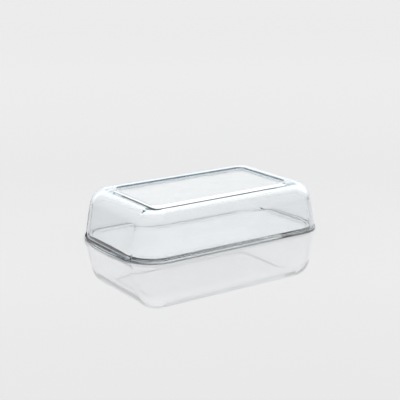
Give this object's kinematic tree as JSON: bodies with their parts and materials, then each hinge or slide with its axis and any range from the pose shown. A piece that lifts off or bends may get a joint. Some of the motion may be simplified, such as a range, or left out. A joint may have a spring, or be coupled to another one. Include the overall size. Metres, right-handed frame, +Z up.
{
  "type": "butter dish",
  "caption": "Clear pressed-glass butter dish: a low rectangular tray under a trough-shaped cover with a raised top frame and a crescent grip at each end.",
  "frame": {"origin": "on the table, under the middle of the dish", "axes": "+Z up, the long side along X with a grip at each end, the long walls facing -Y and +Y"},
  "size_m": [0.2, 0.1154, 0.043],
  "materials": {
    "cover_glass": "clear pressed glass, fire-polished",
    "tray_glass": "clear pressed glass, fire-polished"
  },
  "bodies": {
    "tray": {"tray": "tray_glass"},
    "cover": {"cover": "cover_glass"}
  },
  "joints": [
    {"name": "cover_lift", "type": "slide", "parent": "tray", "child": "cover", "axis": [0, 0, 1], "range_m": [0, 0.08]}
  ]
}
